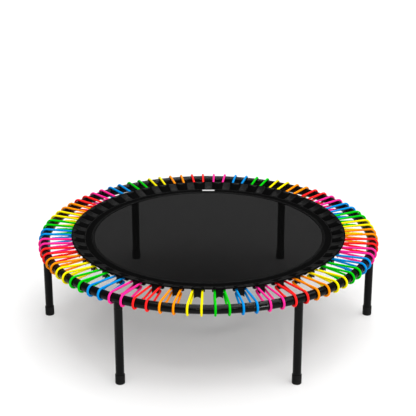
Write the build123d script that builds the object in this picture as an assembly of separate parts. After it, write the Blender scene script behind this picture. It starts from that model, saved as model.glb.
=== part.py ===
from build123d import *
from build123d.topology import SkipClean
from math import acos, atan2, cos, degrees, hypot, pi, radians, sin, tan
import os

# Mini trampoline (rebounder) on six screw-in legs, with a see-through mat hung
# from the frame by coloured bungee rings. Millimetres, +Z up, origin on the
# floor under the centre. The ring-shaped parts share the Z axis.

# Frame tube and welded leg sockets
FRAME_RADIUS = 609.0  # centreline of the frame tube
TUBE_RADIUS = 16.0
TUBE_WALL = 2.0
TUBE_HEIGHT = 323.0  # centreline over the floor
LEG_COUNT = 6
SOCKET_RADIUS = 15.0
SOCKET_BOTTOM = 34.0  # below the tube's centreline
SOCKET_BORE = 6.0
STUD_HOLE = 6.6  # hole in the tube's underside above each socket

# Screw-in legs
LEG_RADIUS = 15.0
LEG_WALL = 2.0
STUD_RADIUS = 5.95
STUD_LENGTH = 26.0  # over the leg's top face
STUD_CHAMFER = 1.5
PLUG_LENGTH = 30.0
WASHER_THICKNESS = 2.0
WASHER_RADIUS = 14.0
WASHER_BORE = 6.3
FOOT_RADIUS = 17.0
FOOT_HEIGHT = 35.0
FOOT_FLOOR = 5.0
FOOT_FILLET = 2.5
RIM_FILLET = 1.0

# Mat and its sewn edge, with heights counted from the tube's centreline
MAT_RADIUS = 463.0
MAT_THICKNESS = 1.2
MAT_MIDDLE = 10.0
BORDER_INNER_RADIUS = 425.0
BORDER_THICKNESS = 1.5
RIM_RADIUS = 508.0  # centre of the piping round the edge flap
RIM_MIDDLE = 26.0
PIPING_RADIUS = 2.0
FLAP_THICKNESS = 2.0
WEBBING_WIDTH = 31.0
WEBBING_THICKNESS = 1.2
PATCH_GAP = 0.15  # lets a flat patch lie on the slightly curved flap
FOLD_WIDTH = 34.0
FOLD_DEPTH = 13.0
LABEL_LENGTH = 50.0
LABEL_WIDTH = 12.0
LABEL_THICKNESS = 0.5
LABEL_RADIUS = 452.0

# Hooks, with heights from the tube's centreline, and the webbing straps that hold them
RING_COUNT = 42
HOOK_RADIUS = 497.0  # outer faces of the hooks' plates
HOOK_MIDDLE = 4.0
PLATE_WIDTH = 24.6
PLATE_THICKNESS = 5.0
PLATE_TOP = 19.0
PLATE_BOTTOM = -15.0
PLATE_FILLET = 1.5
NOTCH_WIDTH = 20.6  # the rounded notch in the plate's lower edge
NOTCH_DEPTH = 5.0
NECK_WIDTH = 12.0
NECK_THICKNESS = 3.0
PIN_RING_RADIUS = 474.0
PIN_RADIUS = 5.0
PIN_LENGTH = 47.0
PIN_FILLET = 1.5
STRAP_WIDTH = 12.0
STRAP_MIDDLE = 13.5  # to each side of the hook's neck
STRAP_LAYER = 1.5
STRAP_INNER_RADIUS = 436.0
STRAP_EYE_GAP = 0.1

# Bungee rings
CORD_RADIUS = 4.0
CORD_GAP = 0.3
STRAND_SPACING = 34.0  # between a ring's two strands beside the hook
HOOK_TURN = 9.8  # a cord's bend into the hook
BIGHT_OFFSET = 9.9  # how far behind the plate's face a ring's bight lies
BIGHT_BEND = 5.0
SLEEVE_RADIUS = 5.75
SLEEVE_LENGTH = 40.0
SLEEVE_START = 52.0  # from the hook along the lower strand
CORD_END_GAP = 0.5
FIRST_RING_ANGLE = 180.0
COLOURS = ["blue", "pink", "red", "orange", "yellow", "green"]

RING_STEP = 360.0 / RING_COUNT
LEG_STEP = 360.0 / LEG_COUNT
LEG_TOP = TUBE_HEIGHT - SOCKET_BOTTOM - WASHER_THICKNESS
MAT_TOP = TUBE_HEIGHT + MAT_MIDDLE + MAT_THICKNESS / 2
MAT_BOTTOM = MAT_TOP - MAT_THICKNESS
BORDER_TOP = MAT_TOP + BORDER_THICKNESS
RIM_Z = TUBE_HEIGHT + RIM_MIDDLE
HOOK_Z = TUBE_HEIGHT + HOOK_MIDDLE


def save(name, solids):
    """Writes one node: a solid, or a group of separate solids."""
    solids = list(solids)
    shape = solids[0] if len(solids) == 1 else Compound(children=solids)
    shape.label = name
    export_step(shape, f"parts/{name}.step")


def around(solid, angles):
    """Copies of a solid turned about the Z axis."""
    return [Rot(0, 0, angle) * solid for angle in angles]


def only_solid(shape):
    """The single solid of a Boolean's result."""
    return shape.solids()[0]


def torus(radius, thickness, height):
    """A ring of round section about the Z axis."""
    return Pos(0, 0, height) * Torus(radius, thickness)


def washer_shape(outer, inner, bottom, height):
    """A flat ring, or a length of tube, about the Z axis."""
    low_end = Align.MIN
    middle = Align.CENTER
    body = Cylinder(outer, height, align=(middle, middle, low_end))
    hole = Cylinder(inner, height, align=(middle, middle, low_end))
    return only_solid(Pos(0, 0, bottom) * (body - hole))


def rod_shape(radius, bottom, top):
    """A solid round bar along Z."""
    return Pos(0, 0, (bottom + top) / 2) * Cylinder(radius, top - bottom)


def leg_places():
    """The angles of the legs about the Z axis."""
    return [i * LEG_STEP for i in range(LEG_COUNT)]


def ring_angle(index):
    """The angle of one bungee ring's middle."""
    return FIRST_RING_ANGLE + index * RING_STEP


def frame_sector():
    """A sixth of the hollow frame tube, with the hole for one leg's stud."""
    section = Circle(TUBE_RADIUS) - Circle(TUBE_RADIUS - TUBE_WALL)
    bend = revolve(Plane.XZ * Pos(FRAME_RADIUS, TUBE_HEIGHT) * section, Axis.Z, LEG_STEP)
    hole = rod_shape(STUD_HOLE, TUBE_HEIGHT - TUBE_RADIUS - 1, TUBE_HEIGHT)
    return only_solid(Rot(0, 0, -LEG_STEP / 2) * bend - Pos(FRAME_RADIUS, 0, 0) * hole)


def frame_ring():
    """The hollow frame tube, bent into one closed ring."""
    sectors = around(frame_sector(), leg_places())
    with SkipClean():
        return only_solid(sectors[0] + sectors[1:])


def leg_socket():
    """The threaded boss welded under the tube, with its top coped to it."""
    boss = rod_shape(SOCKET_RADIUS, TUBE_HEIGHT - SOCKET_BOTTOM, TUBE_HEIGHT)
    boss -= rod_shape(SOCKET_BORE, TUBE_HEIGHT - SOCKET_BOTTOM - 1, TUBE_HEIGHT + 1)
    boss = Pos(FRAME_RADIUS, 0, 0) * boss
    return only_solid(boss - torus(FRAME_RADIUS, TUBE_RADIUS, TUBE_HEIGHT))


def leg_tube():
    """The leg's tube, standing on the inside of its foot cap."""
    tube = washer_shape(LEG_RADIUS, LEG_RADIUS - LEG_WALL, FOOT_FLOOR, LEG_TOP - FOOT_FLOOR)
    return Pos(FRAME_RADIUS, 0, 0) * tube


def leg_stud():
    """The plug pressed into the leg's top and the threaded stud on it."""
    stud_top = LEG_TOP + STUD_LENGTH
    plug = rod_shape(LEG_RADIUS - LEG_WALL, LEG_TOP - PLUG_LENGTH, LEG_TOP)
    stud = chamfer(rod_shape(STUD_RADIUS, LEG_TOP - 1, stud_top).edges().sort_by(Axis.Z)[-1], STUD_CHAMFER)
    return Pos(FRAME_RADIUS, 0, 0) * only_solid(plug + stud)


def leg_washer():
    """The washer between the leg's shoulder and its socket."""
    washer = washer_shape(WASHER_RADIUS, WASHER_BORE, LEG_TOP, WASHER_THICKNESS)
    return Pos(FRAME_RADIUS, 0, 0) * washer


def foot_cap():
    """The rubber cap over the leg's lower end."""
    cap = rod_shape(FOOT_RADIUS, 0, FOOT_HEIGHT)
    cap = fillet(cap.edges().sort_by(Axis.Z)[0], FOOT_FILLET)
    cap = fillet(cap.edges().sort_by(Axis.Z)[-1], RIM_FILLET)
    cap -= rod_shape(LEG_RADIUS, FOOT_FLOOR, FOOT_HEIGHT + 1)
    return Pos(FRAME_RADIUS, 0, 0) * only_solid(cap)


def mat_disc():
    """The woven jumping mat."""
    return rod_shape(MAT_RADIUS, MAT_BOTTOM, MAT_TOP)


def mat_border():
    """The flat band sewn on top of the mat's edge."""
    return washer_shape(MAT_RADIUS, BORDER_INNER_RADIUS, MAT_TOP, BORDER_THICKNESS)


FLAP_INNER = (MAT_RADIUS, MAT_TOP)
FLAP_OUTER = (RIM_RADIUS - PIPING_RADIUS, RIM_Z - FLAP_THICKNESS)


def flap_slope():
    """The flap's angle to the horizontal, in degrees."""
    return degrees(atan2(FLAP_OUTER[1] - FLAP_INNER[1], FLAP_OUTER[0] - FLAP_INNER[0]))


def flap_point(radius, height_over):
    """A point in the XZ plane at a radius, this far square out of the flap."""
    slope = radians(flap_slope())
    run = radius - FLAP_INNER[0]
    z = FLAP_INNER[1] + FLAP_THICKNESS + run * tan(slope)
    return (radius - height_over * sin(slope), z + height_over * cos(slope))


def edge_flap():
    """The flap that rises from the border and covers the hooks."""
    up = (0, FLAP_THICKNESS)
    outline = [
        FLAP_INNER,
        FLAP_OUTER,
        (FLAP_OUTER[0], FLAP_OUTER[1] + up[1]),
        (FLAP_INNER[0], FLAP_INNER[1] + up[1]),
    ]
    face = Plane.XZ * make_face(Polyline(*outline, close=True))
    return only_solid(revolve(face, Axis.Z))


def edge_piping():
    """The round piping that stiffens the flap's outer edge."""
    return torus(RIM_RADIUS, PIPING_RADIUS, RIM_Z)


def lay_on_flap(outline, radius, thickness):
    """Raises a flat outline, drawn with X up the slope, on the flap at a radius."""
    x, z = flap_point(radius, PATCH_GAP)
    plate = extrude(outline, thickness)
    return only_solid(Pos(x, 0, z) * Rot(0, -flap_slope(), 0) * plate)


def edge_webbing():
    """A strap sewn up the flap, between two hooks."""
    length = (RIM_RADIUS - PIPING_RADIUS - MAT_RADIUS - 2) / cos(radians(flap_slope()))
    middle = (RIM_RADIUS - PIPING_RADIUS + MAT_RADIUS) / 2
    return lay_on_flap(Rectangle(length, WEBBING_WIDTH), middle, WEBBING_THICKNESS)


def strap_fold():
    """The half-moon patch sewn under the rim over a hook."""
    ellipse = Ellipse(FOLD_DEPTH, FOLD_WIDTH / 2)
    half = ellipse & (Pos(-FOLD_DEPTH, 0) * Rectangle(2 * FOLD_DEPTH, 2 * FOLD_WIDTH))
    return lay_on_flap(half, RIM_RADIUS - PIPING_RADIUS - 1, WEBBING_THICKNESS)


def label_patch():
    """The plain label sewn on the border."""
    plate = Box(LABEL_WIDTH, LABEL_LENGTH, LABEL_THICKNESS)
    return Pos(LABEL_RADIUS, 0, BORDER_TOP + LABEL_THICKNESS / 2) * plate


def hook_plate():
    """The upright plate that a ring's two bights lie behind, notched below."""
    outline = Pos(0, (PLATE_TOP + PLATE_BOTTOM) / 2) * Rectangle(PLATE_WIDTH, PLATE_TOP - PLATE_BOTTOM)
    notch_radius = (NOTCH_WIDTH**2 / 4 + NOTCH_DEPTH**2) / (2 * NOTCH_DEPTH)
    outline -= Pos(0, PLATE_BOTTOM + NOTCH_DEPTH - notch_radius) * Circle(notch_radius)
    outline = fillet(outline.vertices().group_by(Axis.Y)[-1], PLATE_FILLET)
    face = Plane((HOOK_RADIUS, 0, TUBE_HEIGHT), x_dir=(0, 1, 0), z_dir=(1, 0, 0)) * outline
    return extrude(face, -PLATE_THICKNESS)


def ring_hook():
    """A moulded hook: its plate, and a neck to the pin that its straps hold."""
    rod = fillet(Cylinder(PIN_RADIUS, PIN_LENGTH).edges(), PIN_FILLET)
    inner_end = PIN_RING_RADIUS
    outer_end = HOOK_RADIUS - PLATE_THICKNESS / 2
    neck_middle = (inner_end + outer_end) / 2
    neck = Pos(neck_middle, 0, HOOK_Z) * Box(outer_end - inner_end, NECK_WIDTH, NECK_THICKNESS)
    return only_solid(hook_plate() + neck + Pos(PIN_RING_RADIUS, 0, HOOK_Z) * Rot(90, 0, 0) * rod)


def hook_strap(side):
    """One of the two straps sewn under the mat that loop round a hook's pin."""
    eye_inner = PIN_RADIUS + STRAP_EYE_GAP
    eye_outer = eye_inner + STRAP_LAYER
    tail = [
        (STRAP_INNER_RADIUS, MAT_BOTTOM - 2 * STRAP_LAYER),
        (MAT_RADIUS - 4, MAT_BOTTOM - 2 * STRAP_LAYER),
        (PIN_RING_RADIUS, HOOK_Z - STRAP_LAYER),
        (PIN_RING_RADIUS, HOOK_Z + STRAP_LAYER),
        (MAT_RADIUS - 4, MAT_BOTTOM),
        (STRAP_INNER_RADIUS, MAT_BOTTOM),
    ]
    outline = make_face(Polyline(*tail, close=True))
    outline += Pos(PIN_RING_RADIUS, HOOK_Z) * Circle(eye_outer)
    outline -= Pos(PIN_RING_RADIUS, HOOK_Z) * Circle(eye_inner)
    strap = extrude(Plane.XZ * outline, STRAP_WIDTH / 2, both=True)
    return only_solid(Pos(0, side * STRAP_MIDDLE, 0) * strap)


TUBE_TURN = TUBE_RADIUS + CORD_GAP + CORD_RADIUS  # a cord's bend round the tube
BIGHT_RISE = NECK_THICKNESS / 2 + CORD_GAP + CORD_RADIUS
STRAND_HALF_ANGLE = radians(RING_STEP / 4)
TUBE_POINT = Vector(FRAME_RADIUS * cos(STRAND_HALF_ANGLE), FRAME_RADIUS * sin(STRAND_HALF_ANGLE), 0)
HOOK_POINT = Vector(HOOK_RADIUS, STRAND_SPACING / 2, 0)
STRAND_REACH = (TUBE_POINT - HOOK_POINT).length
STRAND_DIRECTION = (TUBE_POINT - HOOK_POINT).normalized()


def strand_point(along, z, side):
    """A point of a strand: the distance from its hook, the height and the side."""
    flat = HOOK_POINT + STRAND_DIRECTION * along
    return Vector(flat.X, side * flat.Y, TUBE_HEIGHT + z)


def run_angle(up):
    """The angle, at the hook and at the tube, where a straight run touches both bends."""
    lean = acos((HOOK_TURN - TUBE_TURN) / hypot(STRAND_REACH, HOOK_MIDDLE))
    return atan2(-HOOK_MIDDLE, STRAND_REACH) + up * lean


def tube_touch(up):
    """Where a run meets the bend round the tube: (along, z)."""
    angle = run_angle(up)
    return (STRAND_REACH + TUBE_TURN * cos(angle), TUBE_TURN * sin(angle))


def hook_touch(up):
    """Where a run meets the bend into the hook: (along, z)."""
    angle = run_angle(up)
    return (HOOK_TURN * cos(angle), HOOK_MIDDLE + HOOK_TURN * sin(angle))


def hook_corner(up):
    """The corner of the bend into the hook, before it is rounded: (along, z)."""
    bight_away = hypot(BIGHT_OFFSET, BIGHT_RISE)
    bight_angle = pi - atan2(BIGHT_RISE, BIGHT_OFFSET) - acos(HOOK_TURN / bight_away)
    middle = (up * bight_angle + run_angle(up)) / 2
    away = HOOK_TURN / cos((up * bight_angle - run_angle(up)) / 2)
    return (away * cos(middle), HOOK_MIDDLE + away * sin(middle))


def lower_point(along):
    """A point of the lower run, from the hook to the tube: (along, z)."""
    start = hook_touch(-1)
    end = tube_touch(-1)
    share = (along - start[0]) / (end[0] - start[0])
    return (along, start[1] + (end[1] - start[1]) * share)


def turn_round_tube(side):
    """The arc of a strand over, outside and under the frame tube."""
    return ThreePointArc(
        strand_point(*tube_touch(1), side),
        strand_point(STRAND_REACH + TUBE_TURN, 0, side),
        strand_point(*tube_touch(-1), side),
    )


def hooked(up, start, finish):
    """From a point of one strand, behind the hook's plate and out along the other strand."""
    bight = (-BIGHT_OFFSET, HOOK_MIDDLE + up * BIGHT_RISE)
    points = [
        strand_point(*start, 1),
        strand_point(*hook_corner(up), 1),
        strand_point(*bight, 1),
        strand_point(*bight, -1),
        strand_point(*hook_corner(up), -1),
        strand_point(*finish, -1),
    ]
    return FilletPolyline(*points, radius=[HOOK_TURN, BIGHT_BEND, BIGHT_BEND, HOOK_TURN])


def bungee_ring():
    """One cord, from its join on the lower run right round to the join again."""
    join = SLEEVE_START + SLEEVE_LENGTH / 2
    first = Line(
        strand_point(*lower_point(join + CORD_END_GAP / 2), -1),
        strand_point(*tube_touch(-1), -1),
    )
    edges = [first]
    edges += turn_round_tube(-1).edges()
    edges += hooked(1, tube_touch(1), tube_touch(1)).edges()
    edges += turn_round_tube(1).edges()
    edges += hooked(-1, tube_touch(-1), lower_point(join - CORD_END_GAP / 2)).edges()
    path = Wire(edges)
    section = Plane(first @ 0, z_dir=first % 0) * Circle(CORD_RADIUS)
    cord = only_solid(sweep(section, path=path))
    wanted = pi * CORD_RADIUS**2 * path.length
    print(f"bungee ring: {path.length:.1f} mm of cord, {cord.volume / wanted:.4f} of its section x length")
    return cord


def ring_sleeve():
    """The sleeve crimped over the ring's two cord ends."""
    start = strand_point(*lower_point(SLEEVE_START), -1)
    finish = strand_point(*lower_point(SLEEVE_START + SLEEVE_LENGTH), -1)
    across = Plane(start, z_dir=finish - start)
    shell = across * (Circle(SLEEVE_RADIUS) - Circle(CORD_RADIUS))
    return only_solid(extrude(shell, SLEEVE_LENGTH))


def build():
    """Makes every node."""
    os.makedirs("parts", exist_ok=True)
    save("frame_ring", [frame_ring()])
    save("leg_sockets", around(leg_socket(), leg_places()))
    leg_pieces = {
        "leg_tube": leg_tube(),
        "leg_stud": leg_stud(),
        "leg_washer": leg_washer(),
        "foot_cap": foot_cap(),
    }
    for index, angle in enumerate(leg_places(), 1):
        for name, solid in leg_pieces.items():
            save(f"{name}_{index}", around(solid, [angle]))

    hooks = [ring_angle(i) for i in range(RING_COUNT)]
    between = [angle + RING_STEP / 2 for angle in hooks]
    save("mat_disc", [mat_disc()])
    save("mat_border", [mat_border()])
    save("edge_flap", [edge_flap()])
    save("edge_piping", [edge_piping()])
    save("edge_webbings", around(edge_webbing(), between))
    save("strap_folds", around(strap_fold(), hooks))
    save("label_patch", around(label_patch(), [90.0]))
    save("hook_straps", around(hook_strap(1), hooks) + around(hook_strap(-1), hooks))
    save("ring_hooks", around(ring_hook(), hooks))

    cord = bungee_ring()
    sleeve = ring_sleeve()
    for offset, colour in enumerate(COLOURS):
        mine = hooks[offset :: len(COLOURS)]
        save(f"bungee_{colour}", around(cord, mine))
        save(f"sleeve_{colour}", around(sleeve, mine))


build()
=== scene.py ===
import math

import bpy
import numpy as np
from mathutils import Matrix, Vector


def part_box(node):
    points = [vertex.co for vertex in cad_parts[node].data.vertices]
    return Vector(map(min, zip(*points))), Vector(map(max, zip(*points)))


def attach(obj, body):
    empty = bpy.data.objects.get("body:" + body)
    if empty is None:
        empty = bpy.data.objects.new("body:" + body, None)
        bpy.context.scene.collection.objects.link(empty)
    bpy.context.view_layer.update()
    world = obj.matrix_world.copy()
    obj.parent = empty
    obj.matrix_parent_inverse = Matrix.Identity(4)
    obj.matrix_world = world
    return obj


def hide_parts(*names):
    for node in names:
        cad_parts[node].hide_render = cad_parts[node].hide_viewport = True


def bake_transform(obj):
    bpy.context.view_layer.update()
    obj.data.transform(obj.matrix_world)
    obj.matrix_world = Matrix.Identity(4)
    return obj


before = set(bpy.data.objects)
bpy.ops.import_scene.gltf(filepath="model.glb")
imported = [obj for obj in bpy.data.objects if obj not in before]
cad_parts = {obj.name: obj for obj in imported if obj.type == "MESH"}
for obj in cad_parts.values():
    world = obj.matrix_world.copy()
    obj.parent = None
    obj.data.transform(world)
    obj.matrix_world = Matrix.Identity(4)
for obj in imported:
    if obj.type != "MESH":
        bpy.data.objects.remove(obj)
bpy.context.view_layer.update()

# ---------------------------------------------------------------- dimensions
# Metres. What the frame holds is read from it; the rest is the soft parts' make-up.

tube_low, tube_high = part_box("frame_ring")
TUBE_RADIUS = (tube_high.z - tube_low.z) / 2
TUBE_Z = (tube_high.z + tube_low.z) / 2
FRAME_RADIUS = tube_high.x - TUBE_RADIUS

hook_low, hook_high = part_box("ring_hooks")
HOOK_RADIUS = hook_high.x
PLATE_TOP = hook_high.z
PLATE_BOTTOM = hook_low.z

strap_low, strap_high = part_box("hook_straps")
STRAP_EYE = (strap_high.z - strap_low.z) / 2
HOOK_Z = (strap_high.z + strap_low.z) / 2
PIN_RING_RADIUS = strap_high.x - STRAP_EYE

mat_low, mat_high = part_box("mat_disc")
MAT_RADIUS = mat_high.x
MAT_TOP = mat_high.z
MAT_BOTTOM = mat_low.z

piping_low, piping_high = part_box("edge_piping")
PIPING_RADIUS = (piping_high.z - piping_low.z) / 2
RIM_Z = (piping_high.z + piping_low.z) / 2
RIM_RADIUS = piping_high.x - PIPING_RADIUS

BORDER_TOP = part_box("mat_border")[1].z
BORDER_INNER_RADIUS = 0.425
BAND_ROUNDING = 0.0012

RING_COUNT = 42
RING_STEP = 2 * math.pi / RING_COUNT
FIRST_RING_ANGLE = math.pi

CORD_RADIUS = 0.004
CORD_GAP = 0.0003
BRAID_STRANDS = 8
BRAID_PITCH = 0.006
STRAND_SPACING = 0.034  # between a ring's two strands beside its hook
HOOK_TURN = 0.0098  # a cord's bend into the hook
BIGHT_OFFSET = 0.0099  # how far behind the plate's face a ring's bight lies
BIGHT_BEND = 0.005
SLEEVE_RADIUS = 0.00575
SLEEVE_START = 0.052  # from the hook along the lower run
SLEEVE_LENGTH = 0.040
SLEEVE_MOUTH = 0.0013  # how far the sleeve's ends round in
CRIMP_DEPTH = 0.0008
CRIMP_WIDTH = 0.0016
CRIMPS = (0.2, 0.5, 0.8)  # shares of the sleeve's length

RIM_OVERLAP = 0.0008  # the flap and its patches run this far into the piping
PATCH_OVERLAP = 0.0006
PATCH_LIFT = 0.0003  # a patch's underside and edge lie this far over the flap
PATCH_SINK = 0.0001
WEBBING_WIDTH = 0.031
WEBBING_THICKNESS = 0.0012
FLAP_THICKNESS = 0.0014
FOLD_WIDTH = 0.034
FOLD_DEPTH = 0.013

STITCH_SPACING = 0.005
STITCH_LENGTH = 0.0036
STITCH_HEIGHT = 0.0006
THREAD_RADIUS = 0.0003

PLATE_WIDTH = 0.0246
PLATE_THICKNESS = 0.005
NOTCH_WIDTH = 0.0206
NOTCH_DEPTH = 0.005
NECK_WIDTH = 0.012
NECK_THICKNESS = 0.003
PLATE_CORNER = 0.003
PLATE_BEVEL = 0.0008
NECK_BEVEL = 0.0006
PIN_RADIUS = 0.005
PIN_LENGTH = 0.047
PIN_ROUNDING = 0.002
STRAP_WIDTH = 0.012
STRAP_MIDDLE = 0.0135  # to each side of the hook's neck
STRAP_LAYER = 0.0015
STRAP_INNER_RADIUS = 0.436

# ---------------------------------------------------------------- mesh tools


def new_piece(name, vertices, faces, material, uv=None):
    """A smooth-shaded mesh object. uv gives each vertex of each face its place."""
    mesh = bpy.data.meshes.new(name)
    mesh.from_pydata([tuple(v) for v in vertices], [], [tuple(f) for f in faces])
    mesh.polygons.foreach_set("use_smooth", [True] * len(mesh.polygons))
    if uv is not None:
        layer = mesh.uv_layers.new(name="cloth")
        layer.data.foreach_set("uv", np.asarray(uv, np.float32).ravel())
    mesh.validate()
    mesh.update()
    mesh.materials.append(material)
    piece = bpy.data.objects.new(name, mesh)
    bpy.context.scene.collection.objects.link(piece)
    return piece


def turned(points, angle):
    """Points turned about the Z axis."""
    points = np.asarray(points, float)
    c, s = math.cos(angle), math.sin(angle)
    return points @ np.array([[c, s, 0], [-s, c, 0], [0, 0, 1]])


class Collector:
    """Gathers many small closed shapes into one mesh."""

    def __init__(self):
        """Starts empty."""
        self.vertices, self.faces, self.uv, self.count = [], [], [], 0

    def add(self, vertices, faces, uv=None):
        """Adds one shape."""
        self.vertices.append(np.asarray(vertices, float))
        self.faces += [[i + self.count for i in face] for face in faces]
        self.count += len(vertices)
        if uv is not None:
            self.uv += list(uv)

    def piece(self, name, material):
        """Makes the object that holds them all."""
        uv = self.uv if self.uv else None
        return new_piece(name, np.concatenate(self.vertices), self.faces, material, uv)


def grid_faces(rows, columns, closed_rows=False, closed_columns=False):
    """Quads of a grid whose vertices run column by column along each row."""
    faces = []
    for r in range(rows if closed_rows else rows - 1):
        for c in range(columns if closed_columns else columns - 1):
            r2, c2 = (r + 1) % rows, (c + 1) % columns
            faces.append((r * columns + c, r * columns + c2, r2 * columns + c2, r2 * columns + c))
    return faces


def tube(path, radii, sides):
    """A closed round tube along an open path: vertices, faces and corner UVs in metres."""
    path = np.asarray(path, float)
    radii = np.broadcast_to(np.asarray(radii, float), len(path))
    forward = np.gradient(path, axis=0)
    forward /= np.linalg.norm(forward, axis=1)[:, None]
    side = np.cross(forward[0], (0.3, 0.2, 1.0))
    side /= np.linalg.norm(side)
    rows = []
    turns = np.arange(sides) / sides * 2 * math.pi
    for point, ahead, radius in zip(path, forward, radii):
        side = side - ahead * (side @ ahead)
        side /= np.linalg.norm(side)
        other = np.cross(ahead, side)
        rows.append(point + radius * (np.outer(np.cos(turns), side) + np.outer(np.sin(turns), other)))
    vertices = np.concatenate(rows)
    faces = grid_faces(len(path), sides, closed_columns=True)
    along = np.concatenate([[0], np.cumsum(np.linalg.norm(np.diff(path, axis=0), axis=1))])
    uv = []
    for r in range(len(path) - 1):
        for c in range(sides):
            low, high = c / sides, (c + 1) / sides
            uv += [(low, along[r]), (high, along[r]), (high, along[r + 1]), (low, along[r + 1])]
    last = (len(path) - 1) * sides
    faces += [tuple(range(sides))[::-1], tuple(last + i for i in range(sides))]
    uv += [(0, 0)] * sides + [(0, along[-1])] * sides
    outward_faces, outward_uv, at = [], [], 0
    for face in faces:
        outward_faces.append(face[::-1])
        outward_uv += uv[at : at + len(face)][::-1]
        at += len(face)
    return vertices, outward_faces, outward_uv


def arc(centre, radius, start, end, steps):
    """Points (x, z) of an arc."""
    angles = np.linspace(start, end, steps)
    return [(centre[0] + radius * math.cos(a), centre[1] + radius * math.sin(a)) for a in angles]


def round_corner(before, corner, after, radius, steps):
    """The points of the arc that rounds one corner of a route in space."""
    inward = (before - corner).normalized()
    outward = (after - corner).normalized()
    half_turn = (math.pi - inward.angle(outward)) / 2
    centre = corner + (inward + outward).normalized() * radius / math.cos(half_turn)
    reach = radius * math.tan(half_turn)
    first = (corner + inward * reach - centre).normalized()
    last = (corner + outward * reach - centre).normalized()
    return [centre + first.slerp(last, i / steps) * radius for i in range(steps + 1)]


def quarter_round(share):
    """A quarter circle's height: 0 at 0, and 1 from 1 on."""
    return math.sqrt(max(0.0, 1 - max(0.0, 1 - share) ** 2))


def fill_in(points, longest):
    """The same route with no step longer than this."""
    out = [points[0]]
    for a, b in zip(points, points[1:]):
        count = max(1, math.ceil((b - a).length / longest))
        out += [a.lerp(b, i / count) for i in range(1, count + 1)]
    return out


# ---------------------------------------------------------------- bungee rings
# The same route as the CAD model's: heights here are over the tube's centreline.

TUBE_TURN = TUBE_RADIUS + CORD_GAP + CORD_RADIUS
HOOK_RISE = HOOK_Z - TUBE_Z
BIGHT_RISE = NECK_THICKNESS / 2 + CORD_GAP + CORD_RADIUS
TUBE_POINT = Vector((FRAME_RADIUS * math.cos(RING_STEP / 4), FRAME_RADIUS * math.sin(RING_STEP / 4), 0))
HOOK_POINT = Vector((HOOK_RADIUS, STRAND_SPACING / 2, 0))
STRAND_REACH = (TUBE_POINT - HOOK_POINT).length
STRAND_DIRECTION = (TUBE_POINT - HOOK_POINT).normalized()


def strand_point(along, z, side):
    """A point of a strand: the distance from its hook, the height and the side."""
    flat = HOOK_POINT + STRAND_DIRECTION * along
    return Vector((flat.x, side * flat.y, TUBE_Z + z))


def run_angle(up):
    """The angle, at the hook and at the tube, where a straight run touches both bends."""
    lean = math.acos((HOOK_TURN - TUBE_TURN) / math.hypot(STRAND_REACH, HOOK_RISE))
    return math.atan2(-HOOK_RISE, STRAND_REACH) + up * lean


def bight_angle(up):
    """The angle at the hook where the run to the bight behind it leaves."""
    away = math.hypot(BIGHT_OFFSET, BIGHT_RISE)
    return up * (math.pi - math.atan2(BIGHT_RISE, BIGHT_OFFSET) - math.acos(HOOK_TURN / away))


def lower_point(along):
    """A point of the lower run, from the hook to the tube: (along, z)."""
    angle = run_angle(-1)
    start = (HOOK_TURN * math.cos(angle), HOOK_RISE + HOOK_TURN * math.sin(angle))
    end = (STRAND_REACH + TUBE_TURN * math.cos(angle), TUBE_TURN * math.sin(angle))
    share = (along - start[0]) / (end[0] - start[0])
    return (along, start[1] + (end[1] - start[1]) * share)


def strand_ends(side, up_first):
    """A strand's bend round the tube, from its upper to its lower run or back."""
    turn = arc((STRAND_REACH, 0), TUBE_TURN, run_angle(1), run_angle(-1), 25)
    return [strand_point(*p, side) for p in (turn if up_first else turn[::-1])]


def hooked(up):
    """The bend into the hook, the bight behind its plate, and the way back."""
    over = arc((0, HOOK_RISE), HOOK_TURN, run_angle(up), bight_angle(up), 5)
    bight = (-BIGHT_OFFSET, HOOK_RISE + up * BIGHT_RISE)
    near = [strand_point(*p, 1) for p in over]
    far = [strand_point(*p, -1) for p in over]
    corner, other_corner = strand_point(*bight, 1), strand_point(*bight, -1)
    first = round_corner(near[-1], corner, other_corner, BIGHT_BEND, 6)
    second = round_corner(corner, other_corner, far[-1], BIGHT_BEND, 6)
    return near + first + second + far[::-1]


def ring_route():
    """The centreline of one bungee ring, from its join round to the join again."""
    join = SLEEVE_START + SLEEVE_LENGTH / 2
    points = [strand_point(*lower_point(join), -1)]
    points += strand_ends(-1, up_first=False)
    points += hooked(1)[::-1]
    points += strand_ends(1, up_first=True)
    points += hooked(-1)
    points += [strand_point(*lower_point(join - CORD_GAP), -1)]
    return fill_in(points, 0.006)


def sleeve_route():
    """The centreline of a ring's crimp sleeve and its radius at each point."""
    steps = 60
    start = strand_point(*lower_point(SLEEVE_START), -1)
    finish = strand_point(*lower_point(SLEEVE_START + SLEEVE_LENGTH), -1)
    path, radii = [], []
    for i in range(steps + 1):
        share = i / steps
        path.append(start.lerp(finish, share))
        end = min(share, 1 - share) * SLEEVE_LENGTH
        mouth = SLEEVE_MOUTH * (1 - quarter_round(end / CRIMP_WIDTH))
        crimp = sum(math.exp(-(((share - at) * SLEEVE_LENGTH / CRIMP_WIDTH) ** 2)) for at in CRIMPS)
        radii.append(SLEEVE_RADIUS - mouth - CRIMP_DEPTH * crimp)
    return path, radii


# ---------------------------------------------------------------- mat edge


def edge_profile(radius, angle):
    """The flap's top surface: high over the hooks, and pulled down between them."""
    share = min(1.0, max(0.0, (radius - MAT_RADIUS) / (RIM_RADIUS - PIPING_RADIUS - MAT_RADIUS)))
    base = BORDER_TOP
    rise = RIM_Z + RIM_OVERLAP - base
    over_hook = 1 - (1 - share) ** 1.8
    between = share**2.2
    over = (1 + math.cos((angle - FIRST_RING_ANGLE) * RING_COUNT)) / 2
    over = over * over * (3 - 2 * over)
    return base + rise * (between + (over_hook - between) * over)


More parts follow.
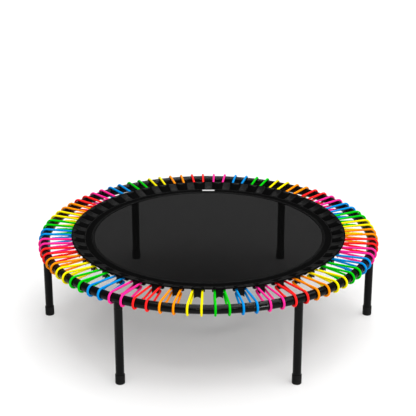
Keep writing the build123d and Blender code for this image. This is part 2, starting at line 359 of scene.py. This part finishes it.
def edge_normal(radius, angle):
    """The flap's unit normal, up and inwards."""
    step = 0.0005
    out = Vector((math.cos(angle), math.sin(angle), 0))
    across = Vector((-math.sin(angle), math.cos(angle), 0))
    slope = (edge_profile(radius + step, angle) - edge_profile(radius - step, angle)) / (2 * step)
    turn = step / radius
    lean = (edge_profile(radius, angle + turn) - edge_profile(radius, angle - turn)) / (2 * step)
    return (Vector((0, 0, 1)) - out * slope - across * lean).normalized()


def on_edge(radius, angle, height):
    """A point square over the mat's border or flap."""
    base = Vector((radius * math.cos(angle), radius * math.sin(angle), edge_profile(radius, angle)))
    return base + edge_normal(radius, angle) * height


def patch(rows, top, bottom):
    """A closed thin sheet from two equal grids of points: vertices, faces and UVs."""
    columns = len(top) // rows
    count = rows * columns
    over = grid_faces(rows, columns)
    faces = list(over) + [tuple(count + i for i in face[::-1]) for face in over]
    loop = list(range(columns))
    loop += [r * columns + columns - 1 for r in range(1, rows)]
    loop += [(rows - 1) * columns + c for c in range(columns - 2, -1, -1)]
    loop += [r * columns for r in range(rows - 2, 0, -1)]
    for a, b in zip(loop, loop[1:] + loop[:1]):
        faces.append((b, a, count + a, count + b))
    return list(top) + list(bottom), faces


def patch_uv(faces, places):
    """Corner UVs of a patch from each grid point's place on the flat cloth."""
    count = len(places)
    return [places[i % count] for face in faces for i in face]


def rounded_edge(share, softness):
    """1 over most of a strip, falling smoothly to 0 at its two edges."""
    return quarter_round(min(share, 1 - share) / softness)


def webbing_strip(angle):
    """One strip of webbing sewn up the flap between two hooks."""
    rows, columns = 30, 13
    inner, outer = MAT_RADIUS - 0.001, RIM_RADIUS - PIPING_RADIUS + PATCH_OVERLAP
    top, bottom, places = [], [], []
    for r in range(rows):
        radius = inner + (outer - inner) * r / (rows - 1)
        for c in range(columns):
            share = c / (columns - 1)
            y = (share - 0.5) * WEBBING_WIDTH
            at = angle + y / radius
            full = rounded_edge(share, 0.12) * rounded_edge(r / (rows - 1), 0.03)
            top.append(on_edge(radius, at, PATCH_LIFT + WEBBING_THICKNESS * (0.35 + 0.65 * full)))
            bottom.append(on_edge(radius, at, PATCH_SINK))
            places.append((y, radius))
    vertices, faces = patch(rows, top, bottom)
    return vertices, faces, patch_uv(faces, places)


def fold_patch(angle):
    """The half-moon patch sewn down under the rim over a hook."""
    rows, columns = 14, 17
    outer = RIM_RADIUS - PIPING_RADIUS + PATCH_OVERLAP
    top, bottom, places = [], [], []
    for r in range(rows):
        for c in range(columns):
            share = c / (columns - 1)
            y = (share - 0.5) * FOLD_WIDTH
            depth = FOLD_DEPTH * math.sqrt(max(0.02, 1 - (2 * share - 1) ** 2))
            down = 1 - r / (rows - 1)
            radius = outer - depth * down
            at = angle + y / radius
            full = rounded_edge(share, 0.1) * min(1.0, math.sqrt(1 - down**8))
            top.append(on_edge(radius, at, PATCH_LIFT + WEBBING_THICKNESS * (0.25 + 0.75 * full)))
            bottom.append(on_edge(radius, at, PATCH_SINK))
            places.append((y, radius))
    vertices, faces = patch(rows, top, bottom)
    return vertices, faces, patch_uv(faces, places)


def ring_sheet(radii, angles, height_of, thickness):
    """A closed ring of cloth: top and bottom skins joined at both edges."""
    rows, columns = len(radii), len(angles)
    top = [height_of(r, a) for r in radii for a in angles]
    bottom = [(p[0], p[1], p[2] - thickness) for p in top]
    count = rows * columns
    over = grid_faces(rows, columns, closed_columns=True)
    faces = [face[::-1] for face in over] + [tuple(count + i for i in face) for face in over]
    last = (rows - 1) * columns
    for c in range(columns):
        n = (c + 1) % columns
        faces.append((c, n, count + n, count + c))
        faces.append((last + n, last + c, count + last + c, count + last + n))
    return [tuple(p) for p in top] + bottom, faces


def stitch_row(collector, radius):
    """A row of stitches round the border: each one a short arched thread."""
    count = round(radius * 2 * math.pi / STITCH_SPACING)
    for i in range(count):
        middle = 2 * math.pi * (i + 0.5) / count
        path = []
        for k in range(5):
            along = (k / 4 - 0.5) * STITCH_LENGTH
            angle = middle + along / radius
            arch = math.sqrt(max(0.0, 1 - (2 * abs(along) / STITCH_LENGTH) ** 2))
            path.append(on_edge(radius, angle, STITCH_HEIGHT * arch - 0.0002))
        collector.add(*tube(path, THREAD_RADIUS, 6)[:2])


def strap_loop():
    """A hook strap's middle line in the XZ plane, sewn under the mat and looped round the pin."""
    eye = STRAP_EYE - STRAP_LAYER / 2
    half = STRAP_LAYER / 2 + 0.00002
    leave = math.pi - math.asin(half / eye)
    seam_end = MAT_RADIUS - 0.004
    knee = PIN_RING_RADIUS - STRAP_EYE - 0.002
    upper = [(STRAP_INNER_RADIUS, MAT_BOTTOM - half), (seam_end, MAT_BOTTOM - half), (knee, HOOK_Z + half)]
    lower = [(x, z - 2 * half) for x, z in upper[::-1]]
    return np.array(upper + arc((PIN_RING_RADIUS, HOOK_Z), eye, leave, -leave, 33) + lower)


def strap_band(line, middle, width, thickness):
    """A flat strap that follows a line in the XZ plane: vertices, faces and UVs."""
    steps = np.linalg.norm(np.diff(line, axis=0), axis=1)
    along = np.concatenate([[0], np.cumsum(steps)])
    ahead = np.gradient(line, axis=0)
    ahead /= np.linalg.norm(ahead, axis=1)[:, None]
    out = np.stack([ahead[:, 1], -ahead[:, 0]], 1)
    columns = 9
    top, bottom, places = [], [], []
    for point, normal, distance in zip(line, out, along):
        for c in range(columns):
            share = c / (columns - 1)
            y = middle + (share - 0.5) * width
            full = 0.35 + 0.65 * rounded_edge(share, 0.12)
            for skin, sign in ((top, 1), (bottom, -1)):
                x, z = point + normal * sign * thickness / 2 * full
                skin.append(Vector((x, y, z)))
            places.append((y, distance))
    vertices, faces = patch(len(line), top, bottom)
    return vertices, faces, patch_uv(faces, places)


def pin_shape():
    """The pin of a hook, with rounded ends."""
    half = PIN_LENGTH / 2
    outline = [(-half, PIN_RADIUS - PIN_ROUNDING - 0.0005)]
    for t in np.linspace(0.15, math.pi / 2, 6):
        inset = PIN_ROUNDING * (1 - math.cos(t))
        outline.append((-half + inset, PIN_RADIUS - PIN_ROUNDING * (1 - math.sin(t))))
    outline += [(-y, r) for y, r in outline[::-1]]
    path = [Vector((PIN_RING_RADIUS, y, HOOK_Z)) for y, _ in outline]
    return tube(path, [r for _, r in outline], 24)


def prism(outline, near, far):
    """A closed bar along X over an outline of (y, z) points."""
    count = len(outline)
    vertices = [(x, y, z) for x in (near, far) for y, z in outline]
    faces = [tuple(range(count))[::-1], tuple(range(count, 2 * count))]
    faces += [(i, (i + 1) % count, count + (i + 1) % count, count + i) for i in range(count)]
    return vertices, faces


def bevelled(vertices, faces, width):
    """The same solid with its edges rounded: vertices and faces."""
    mesh = bpy.data.meshes.new("edges_to_round")
    mesh.from_pydata(vertices, [], faces)
    solid = bpy.data.objects.new("edges_to_round", mesh)
    bpy.context.scene.collection.objects.link(solid)
    rounding = solid.modifiers.new("rounding", "BEVEL")
    rounding.width = width
    rounding.segments = 3
    rounding.limit_method = "ANGLE"
    rounding.angle_limit = math.radians(35)
    done = bpy.data.meshes.new_from_object(solid.evaluated_get(bpy.context.evaluated_depsgraph_get()))
    vertices = [tuple(v.co) for v in done.vertices]
    faces = [tuple(p.vertices) for p in done.polygons]
    bpy.data.objects.remove(solid)
    bpy.data.meshes.remove(done)
    return vertices, faces


def plate_shape():
    """The upright plate of a hook, rounded above and notched below."""
    half = PLATE_WIDTH / 2
    notch_radius = (NOTCH_WIDTH**2 / 4 + NOTCH_DEPTH**2) / (2 * NOTCH_DEPTH)
    notch_centre = (0, PLATE_BOTTOM + NOTCH_DEPTH - notch_radius)
    reach = math.asin(NOTCH_WIDTH / 2 / notch_radius)
    outline = arc(notch_centre, notch_radius, math.pi / 2 + reach, math.pi / 2 - reach, 13)
    outline += [(half, PLATE_BOTTOM)]
    side, top = half - PLATE_CORNER, PLATE_TOP - PLATE_CORNER
    outline += arc((side, top), PLATE_CORNER, 0, math.pi / 2, 5)
    outline += arc((-side, top), PLATE_CORNER, math.pi / 2, math.pi, 5)
    outline += [(-half, PLATE_BOTTOM)]
    return bevelled(*prism(outline, HOOK_RADIUS - PLATE_THICKNESS, HOOK_RADIUS), PLATE_BEVEL)


def neck_shape():
    """The flat neck between a hook's plate and its pin."""
    y, z = NECK_WIDTH / 2, NECK_THICKNESS / 2
    outline = [(-y, HOOK_Z - z), (y, HOOK_Z - z), (y, HOOK_Z + z), (-y, HOOK_Z + z)]
    return bevelled(*prism(outline, PIN_RING_RADIUS, HOOK_RADIUS - PLATE_THICKNESS / 2), NECK_BEVEL)


# ---------------------------------------------------------------- materials


def new_material(name):
    """A material with its node tree and Principled shader."""
    material = bpy.data.materials.new(name)
    material.use_nodes = True
    tree = material.node_tree
    return material, tree, tree.nodes["Principled BSDF"]


def node(tree, kind, values=None, **settings):
    """A node with some settings and some input values."""
    made = tree.nodes.new(kind)
    for key, value in settings.items():
        setattr(made, key, value)
    for key, value in (values or {}).items():
        made.inputs[key].default_value = value
    return made


def link(tree, source, target):
    """Joins an output socket to an input socket."""
    tree.links.new(source, target)


def math_node(tree, operation, a, b=None, c=None):
    """A Math node; a, b and c are sockets or numbers."""
    made = node(tree, "ShaderNodeMath", operation=operation)
    for index, value in enumerate((a, b, c)):
        if value is None:
            continue
        if isinstance(value, (int, float)):
            made.inputs[index].default_value = value
        else:
            link(tree, value, made.inputs[index])
    return made.outputs[0]


def colour_between(tree, factor, low, high):
    """A colour that runs from low to high with a factor."""
    mix = node(tree, "ShaderNodeMix", data_type="RGBA")
    link(tree, factor, mix.inputs["Factor"])
    mix.inputs["A"].default_value = (*low, 1)
    mix.inputs["B"].default_value = (*high, 1)
    return mix.outputs["Result"]


def object_place(tree):
    """A point's place on the object itself."""
    return node(tree, "ShaderNodeTexCoord").outputs["Object"]


def cloth_place(tree):
    """A point's place on the flat cloth, or along and around a cord."""
    return node(tree, "ShaderNodeUVMap", uv_map="cloth").outputs["UV"]


def axes(tree, place):
    """A place's three coordinates, each on its own socket."""
    parts = node(tree, "ShaderNodeSeparateXYZ")
    link(tree, place, parts.inputs[0])
    return parts.outputs


def noise(tree, scale, detail=3.0):
    """Noise in the object's own space, from 0 to 1."""
    made = node(tree, "ShaderNodeTexNoise", {"Scale": scale, "Detail": detail})
    link(tree, object_place(tree), made.inputs["Vector"])
    return made.outputs["Fac"]


def bump(tree, shader, height, distance):
    """Raises the surface by a height socket."""
    made = node(tree, "ShaderNodeBump", {"Strength": 1.0, "Distance": distance})
    link(tree, height, made.inputs["Height"])
    link(tree, made.outputs["Normal"], shader.inputs["Normal"])


def greys(tree, shader, factor, low, high):
    """The base colour runs between two greys with a factor."""
    colour = colour_between(tree, factor, (low, low, low), (high, high, high))
    link(tree, colour, shader.inputs["Base Color"])


def roughness(tree, shader, factor, low, high):
    """The roughness runs from low to high with a factor."""
    link(tree, ramp_to(tree, factor, low, high), shader.inputs["Roughness"])


def ramp_to(tree, factor, low, high):
    """Runs a number from low to high with a factor."""
    made = node(tree, "ShaderNodeMapRange", {"To Min": low, "To Max": high})
    link(tree, factor, made.inputs["Value"])
    return made.outputs["Result"]


def waves(tree, coordinates, axis, pitch):
    """A sine wave, from 0 to 1, along one axis of some coordinates."""
    turns = math_node(tree, "MULTIPLY", axes(tree, coordinates)[axis], 2 * math.pi / pitch)
    sine = math_node(tree, "SINE", turns)
    return math_node(tree, "MULTIPLY_ADD", sine, 0.5, 0.5)


def paint_material():
    """Black powder coat with a fine orange peel."""
    material, tree, shader = new_material("frame_powder_coat")
    tone = noise(tree, 9.0)
    greys(tree, shader, tone, 0.0010, 0.0022)
    roughness(tree, shader, noise(tree, 60.0), 0.10, 0.15)
    shader.inputs["Specular IOR Level"].default_value = 0.1
    bump(tree, shader, noise(tree, 900.0, 2.0), 0.00001)
    return material


def steel_material():
    """Zinc-plated steel."""
    material, tree, shader = new_material("zinc_plated_steel")
    shader.inputs["Metallic"].default_value = 1.0
    tone = noise(tree, 120.0)
    greys(tree, shader, tone, 0.42, 0.62)
    roughness(tree, shader, noise(tree, 300.0), 0.25, 0.45)
    bump(tree, shader, noise(tree, 1500.0, 2.0), 0.00003)
    return material


def washer_material():
    """Steel with a thin black oxide skin."""
    material, tree, shader = new_material("blackened_steel")
    tone = noise(tree, 200.0)
    greys(tree, shader, tone, 0.004, 0.010)
    roughness(tree, shader, noise(tree, 300.0), 0.35, 0.55)
    shader.inputs["Specular IOR Level"].default_value = 0.2
    bump(tree, shader, noise(tree, 1500.0, 2.0), 0.00002)
    return material


def rubber_material():
    """Matt black foot rubber with a fine grain and scuffs near the floor."""
    material, tree, shader = new_material("foot_rubber")
    low = node(tree, "ShaderNodeMapRange", {"From Max": 0.008, "To Min": 1.0, "To Max": 0.0})
    link(tree, axes(tree, object_place(tree))[2], low.inputs["Value"])
    scuffs = math_node(tree, "MULTIPLY", low.outputs["Result"], noise(tree, 140.0))
    greys(tree, shader, scuffs, 0.003, 0.02)
    roughness(tree, shader, noise(tree, 90.0), 0.55, 0.72)
    shader.inputs["Specular IOR Level"].default_value = 0.12
    bump(tree, shader, noise(tree, 1400.0, 2.0), 0.00008)
    return material


def plastic_material():
    """Moulded black plastic of the hooks."""
    material, tree, shader = new_material("hook_plastic")
    greys(tree, shader, noise(tree, 80.0), 0.0010, 0.0030)
    roughness(tree, shader, noise(tree, 400.0), 0.35, 0.5)
    shader.inputs["Specular IOR Level"].default_value = 0.08
    bump(tree, shader, noise(tree, 2000.0, 2.0), 0.00003)
    return material


def mesh_material():
    """The woven jumping mat: dark, matt, and see-through between its threads."""
    material, tree, shader = new_material("mat_mesh")
    place = object_place(tree)
    across = waves(tree, place, 0, 0.0018)
    along = waves(tree, place, 1, 0.0018)
    thread = math_node(tree, "MAXIMUM", across, along)
    weave = math_node(tree, "MULTIPLY", across, along)
    greys(tree, shader, noise(tree, 6.0), 0.0010, 0.0016)
    roughness(tree, shader, weave, 0.75, 0.9)
    shader.inputs["Specular IOR Level"].default_value = 0.01
    link(tree, ramp_to(tree, thread, 0.81, 0.87), shader.inputs["Alpha"])
    bump(tree, shader, thread, 0.00015)
    return material


def fabric_material():
    """The black woven fabric of the border, the flap and the piping."""
    material, tree, shader = new_material("edge_fabric")
    place = object_place(tree)
    across = waves(tree, place, 0, 0.0012)
    along = waves(tree, place, 1, 0.0012)
    weave = math_node(tree, "MULTIPLY", across, along)
    shade = math_node(tree, "MULTIPLY_ADD", weave, 0.5, 0.5)
    tone = math_node(tree, "MULTIPLY", shade, noise(tree, 30.0))
    colour = colour_between(tree, tone, (0.0003, 0.0003, 0.0003), (0.0014, 0.0014, 0.0015))
    link(tree, colour, shader.inputs["Base Color"])
    roughness(tree, shader, weave, 0.7, 0.92)
    shader.inputs["Specular IOR Level"].default_value = 0.02
    bump(tree, shader, weave, 0.0002)
    return material


def webbing_material():
    """Ribbed black polyester webbing."""
    material, tree, shader = new_material("webbing")
    flat = cloth_place(tree)
    ribs = waves(tree, flat, 1, 0.0017)
    cords = waves(tree, flat, 0, 0.0026)
    weave = math_node(tree, "MULTIPLY", ribs, math_node(tree, "MULTIPLY_ADD", cords, 0.6, 0.5))
    greys(tree, shader, weave, 0.0006, 0.0018)
    roughness(tree, shader, noise(tree, 200.0), 0.38, 0.5)
    shader.inputs["Specular IOR Level"].default_value = 0.07
    bump(tree, shader, weave, 0.00006)
    return material


def thread_material():
    """Waxed black sewing thread."""
    material, tree, shader = new_material("sewing_thread")
    greys(tree, shader, noise(tree, 700.0), 0.012, 0.04)
    roughness(tree, shader, noise(tree, 900.0), 0.4, 0.65)
    bump(tree, shader, noise(tree, 3000.0, 1.0), 0.00005)
    return material


def label_material():
    """Pale woven label, left blank."""
    material, tree, shader = new_material("plain_label")
    place = object_place(tree)
    weave = math_node(tree, "MULTIPLY", waves(tree, place, 0, 0.0006), waves(tree, place, 1, 0.0006))
    greys(tree, shader, weave, 0.45, 0.62)
    roughness(tree, shader, weave, 0.6, 0.85)
    bump(tree, shader, weave, 0.0001)
    return material


def cord_material(name, colour, crimped):
    """A bungee cord's braided cover, or the moulded sleeve over its join."""
    material, tree, shader = new_material(name)
    dark = tuple(c * 0.8 for c in colour)
    if crimped:
        tone = noise(tree, 260.0)
        height, depth = noise(tree, 900.0, 2.0), 0.00005
    else:
        flat = axes(tree, cloth_place(tree))
        around = math_node(tree, "MULTIPLY", flat[0], 2 * math.pi * BRAID_STRANDS)
        down = math_node(tree, "MULTIPLY", flat[1], 2 * math.pi / BRAID_PITCH)
        left = math_node(tree, "SINE", math_node(tree, "ADD", around, down))
        right = math_node(tree, "SINE", math_node(tree, "SUBTRACT", around, down))
        braid = math_node(tree, "MULTIPLY", left, right)
        tone = math_node(tree, "MULTIPLY_ADD", braid, 0.5, 0.5)
        height, depth = tone, 0.0002
    link(tree, colour_between(tree, tone, dark, colour), shader.inputs["Base Color"])
    roughness(tree, shader, tone, 0.55, 0.42)
    shader.inputs["Specular IOR Level"].default_value = 0.03
    bump(tree, shader, height, depth)
    return material


def floor_material():
    """Plain pale studio floor."""
    material, tree, shader = new_material("studio_floor")
    greys(tree, shader, noise(tree, 0.6), 0.49, 0.51)
    roughness(tree, shader, noise(tree, 3.0), 0.85, 0.95)
    shader.inputs["Specular IOR Level"].default_value = 0.0
    shader.inputs["Emission Color"].default_value = (1, 1, 1, 1)
    shader.inputs["Emission Strength"].default_value = FLOOR_GLOW
    return material


# ---------------------------------------------------------------- building

CORD_COLOURS = {  # in their order round the tube
    "blue": (0.0, 0.25, 0.68),
    "pink": (1.0, 0.022, 0.30),
    "red": (0.97, 0.016, 0.016),
    "orange": (1.0, 0.28, 0.0),
    "yellow": (0.92, 0.79, 0.0),
    "green": (0.0, 0.54, 0.002),
}

paint = paint_material()
steel = steel_material()
black_steel = washer_material()
rubber = rubber_material()
plastic = plastic_material()
mesh_cloth = mesh_material()
edge_cloth = fabric_material()
webbing = webbing_material()
thread = thread_material()
label_cloth = label_material()
CORD_MATERIALS = {}
for cord_name, cord_colour in CORD_COLOURS.items():
    CORD_MATERIALS["bungee", cord_name] = cord_material(f"cord_{cord_name}", cord_colour, False)
    CORD_MATERIALS["sleeve", cord_name] = cord_material(f"sleeve_{cord_name}", cord_colour, True)


def ring_place(index):
    """The angle of one bungee ring."""
    return FIRST_RING_ANGLE + index * RING_STEP


def dress_frame_nodes():
    """Gives the CAD nodes that stay their materials."""
    finishes = {"frame_ring": paint, "leg_sockets": paint, "leg_tube": paint, "leg_stud": steel}
    finishes |= {"leg_washer": black_steel, "foot_cap": rubber}
    for name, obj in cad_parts.items():
        for start, material in finishes.items():
            if name.startswith(start):
                obj.data.materials.clear()
                obj.data.materials.append(material)


def build_rings():
    """The 42 bungee rings and their crimp sleeves, each running from the frame's tube to a hook at the mat's
    edge.
    """
    route = ring_route()
    cord_vertices, cord_faces, cord_uv = tube(route, CORD_RADIUS, 14)
    path, radii = sleeve_route()
    sleeve_vertices, sleeve_faces, sleeve_uv = tube(path, radii, 20)
    colours = list(CORD_COLOURS)
    for index in range(RING_COUNT):
        colour = colours[index % len(colours)]
        angle = ring_place(index)
        number = index // len(colours) + 1
        for kind, vertices, faces, uv in (
            ("bungee", cord_vertices, cord_faces, cord_uv),
            ("sleeve", sleeve_vertices, sleeve_faces, sleeve_uv),
        ):
            material = CORD_MATERIALS[kind, colour]
            piece = new_piece(f"{kind}_ring_{colour}_{number}", turned(vertices, angle), faces, material, uv)
            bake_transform(piece)
            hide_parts(f"{kind}_{colour}")


def on_mat(piece, replaced):
    """Declares a piece that moves with the mat."""
    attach(piece, "mat")
    if replaced:
        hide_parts(replaced)
    return piece


def flat_point(radius, angle, z):
    """A point at a radius, an angle and a height."""
    return (radius * math.cos(angle), radius * math.sin(angle), z)


EDGE_ANGLES = [2 * math.pi * i / (RING_COUNT * 16) for i in range(RING_COUNT * 16)]


def build_mesh_disc():
    """The woven mat: a disc of concentric rings, both skins."""
    radii = list(np.linspace(0.012, MAT_RADIUS - 0.0006, 40))
    angles = EDGE_ANGLES[::4]
    thickness = MAT_TOP - MAT_BOTTOM
    vertices, faces = ring_sheet(radii, angles, lambda r, a: flat_point(r, a, MAT_TOP), thickness)
    columns, count = len(angles), len(radii) * len(angles)
    hole = set(range(columns)) | set(range(count, count + columns))
    faces = [face for face in faces if set(face) - hole]
    faces.append(tuple(range(columns)))
    faces.append(tuple(count + c for c in range(columns))[::-1])
    return on_mat(new_piece("jumping_mat", vertices, faces, mesh_cloth), "mat_disc")


def band_point(radius, angle):
    """The top of the border band, with a soft inner edge."""
    edge = min(1.0, (radius - BORDER_INNER_RADIUS) / BAND_ROUNDING)
    full = 0.25 + 0.75 * math.sqrt(1 - (1 - edge) ** 2)
    return flat_point(radius, angle, MAT_TOP + (BORDER_TOP - MAT_TOP) * full)


def build_border():
    """The flat dark band sewn on the mat's edge."""
    radii = [BORDER_INNER_RADIUS + BAND_ROUNDING * step for step in (0, 0.3, 1)]
    radii += list(np.linspace(BORDER_INNER_RADIUS + 3 * BAND_ROUNDING, MAT_RADIUS, 6))
    vertices, faces = ring_sheet(radii, EDGE_ANGLES[::2], band_point, 0.0)
    count = len(vertices) // 2
    vertices = vertices[:count] + [(x, y, MAT_TOP + 0.00005) for x, y, _ in vertices[count:]]
    return on_mat(new_piece("border_band", vertices, faces, edge_cloth), "mat_border")


def build_flap():
    """The flap over the hooks."""
    radii = list(np.linspace(MAT_RADIUS - 0.0005, RIM_RADIUS - PIPING_RADIUS + RIM_OVERLAP, 22))
    skin = ring_sheet(radii, EDGE_ANGLES, lambda r, a: flat_point(r, a, edge_profile(r, a)), FLAP_THICKNESS)
    return on_mat(new_piece("edge_flap_cloth", *skin, edge_cloth), "edge_flap")


def build_piping():
    """The piping round the rim."""
    turns = np.linspace(0, 2 * math.pi, 12, endpoint=False)
    ring = []
    for angle in EDGE_ANGLES[::2]:
        for turn in turns:
            radius = RIM_RADIUS + PIPING_RADIUS * math.cos(turn)
            ring.append(flat_point(radius, angle, RIM_Z + PIPING_RADIUS * math.sin(turn)))
    faces = grid_faces(len(EDGE_ANGLES[::2]), len(turns), True, True)
    return on_mat(new_piece("rim_piping", ring, faces, edge_cloth), "edge_piping")


def build_edge_repeats():
    """The webbing strips, half-moon patches, hook straps and hooks, 42 times round."""
    strips, folds, straps, hooks = Collector(), Collector(), Collector(), Collector()
    loops = [strap_band(strap_loop(), side * STRAP_MIDDLE, STRAP_WIDTH, STRAP_LAYER) for side in (-1, 1)]
    hook_parts = [pin_shape(), plate_shape(), neck_shape()]
    for index in range(RING_COUNT):
        angle = ring_place(index)
        strips.add(*webbing_strip(angle + RING_STEP / 2))
        folds.add(*fold_patch(angle))
        for vertices, faces, uv in loops:
            straps.add(turned(vertices, angle), faces, uv)
        for vertices, faces, *_ in hook_parts:
            hooks.add(turned(vertices, angle), faces)
    return [
        on_mat(strips.piece("edge_webbing_strips", webbing), "edge_webbings"),
        on_mat(folds.piece("half_moon_patches", webbing), "strap_folds"),
        on_mat(straps.piece("hook_strap_loops", webbing), "hook_straps"),
        on_mat(hooks.piece("moulded_ring_hooks", plastic), "ring_hooks"),
    ]


def build_stitching():
    """Three rows of stitches round the border."""
    seams = Collector()
    for radius in (BORDER_INNER_RADIUS + 0.004, BORDER_INNER_RADIUS + 0.009, MAT_RADIUS - 0.003):
        stitch_row(seams, radius)
    return on_mat(seams.piece("border_stitching", thread), None)


def build_mat():
    """The jumping mat with everything sewn to it."""
    mat = build_mesh_disc()
    sewn_on = [build_border(), build_flap(), build_piping(), build_stitching(), build_label()]
    sewn_on += build_edge_repeats()[:3]


def build_label():
    """The plain label sewn on the border at the back."""
    low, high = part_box("label_patch")
    rows, columns = 9, 25
    top, bottom = [], []
    for r in range(rows):
        for c in range(columns):
            x = low.x + (high.x - low.x) * c / (columns - 1)
            y = low.y + (high.y - low.y) * r / (rows - 1)
            full = rounded_edge(r / (rows - 1), 0.15) * rounded_edge(c / (columns - 1), 0.04)
            top.append((x, y, low.z + (high.z - low.z) * (0.4 + 0.6 * full)))
            bottom.append((x, y, low.z + 0.00002))
    vertices, faces = patch(rows, top, bottom)
    return on_mat(new_piece("plain_label", vertices, faces, label_cloth), "label_patch")


# ---------------------------------------------------------------- studio

SKY = 0.3
FLOOR_GLOW = 0.28  # the studio floor is lit from below as well
LIGHTS = [  # strength, spread in degrees, and where it comes from
    ("overhead_light", 1.35, 40, (0, 0, 1)),
    ("right_light", 1.35, 40, (0.47, 0, 1)),
    ("front_light", 0.95, 40, (0, -0.47, 1)),
    ("low_light", 1.2, 8, (0.57, -0.82, 0.09)),
]
STRIPS = [  # rows of small lights: strength of the row, elevation, first and last azimuth
    ("front_strip", 0.8, 34, -96, -36),
    ("back_strip", 0.6, 50, 76, 96),
]
LAMPS_PER_STRIP = 6
LAMP_SPREAD = 3
CAMERA_ELEVATION = 21.886
CAMERA_DISTANCE = 4.653
CAMERA_LENS = 108.4
CAMERA_TARGET = Vector((-0.0015, 0.0, TUBE_Z + 0.116))


def add_sun(name, strength, spread, source):
    """A distant light shining from `source` towards the origin."""
    light = bpy.data.lights.new(name, "SUN")
    light.energy = strength
    light.angle = math.radians(spread)
    holder = bpy.data.objects.new(name, light)
    holder.rotation_euler = Vector(source).to_track_quat("Z", "Y").to_euler()
    bpy.context.scene.collection.objects.link(holder)


def build_stage():
    """The floor, the sky and the lights."""
    scene = bpy.context.scene
    bpy.ops.mesh.primitive_grid_add(x_subdivisions=4, y_subdivisions=4, size=300)
    floor = bpy.context.object
    floor.name = "studio_floor"
    floor.data.materials.append(floor_material())

    world = bpy.data.worlds.new("studio")
    world.use_nodes = True
    world.node_tree.nodes["Background"].inputs["Color"].default_value = (1, 1, 1, 1)
    world.node_tree.nodes["Background"].inputs["Strength"].default_value = SKY
    scene.world = world

    for name, strength, spread, source in LIGHTS:
        add_sun(name, strength, spread, source)
    for name, strength, height, first, last in STRIPS:
        for i in range(LAMPS_PER_STRIP):
            azimuth = math.radians(first + (last - first) * i / (LAMPS_PER_STRIP - 1))
            rise = math.tan(math.radians(height))
            source = (math.cos(azimuth), math.sin(azimuth), rise)
            add_sun(f"{name}_{i + 1}", strength / LAMPS_PER_STRIP, LAMP_SPREAD, source)


def build_camera():
    """The camera, in front of the object and above it."""
    scene = bpy.context.scene
    elevation = math.radians(CAMERA_ELEVATION)
    camera_data = bpy.data.cameras.new("camera")
    camera_data.lens = CAMERA_LENS
    camera_data.sensor_width = 36.0
    camera = bpy.data.objects.new("camera", camera_data)
    away = Vector((0, -math.cos(elevation), math.sin(elevation)))
    camera.location = CAMERA_TARGET + away * CAMERA_DISTANCE
    camera.rotation_euler = (-away).to_track_quat("-Z", "Y").to_euler()
    scene.collection.objects.link(camera)
    scene.camera = camera
    scene.view_settings.view_transform = "Standard"


build_stage()
build_camera()
dress_frame_nodes()
build_rings()
build_mat()
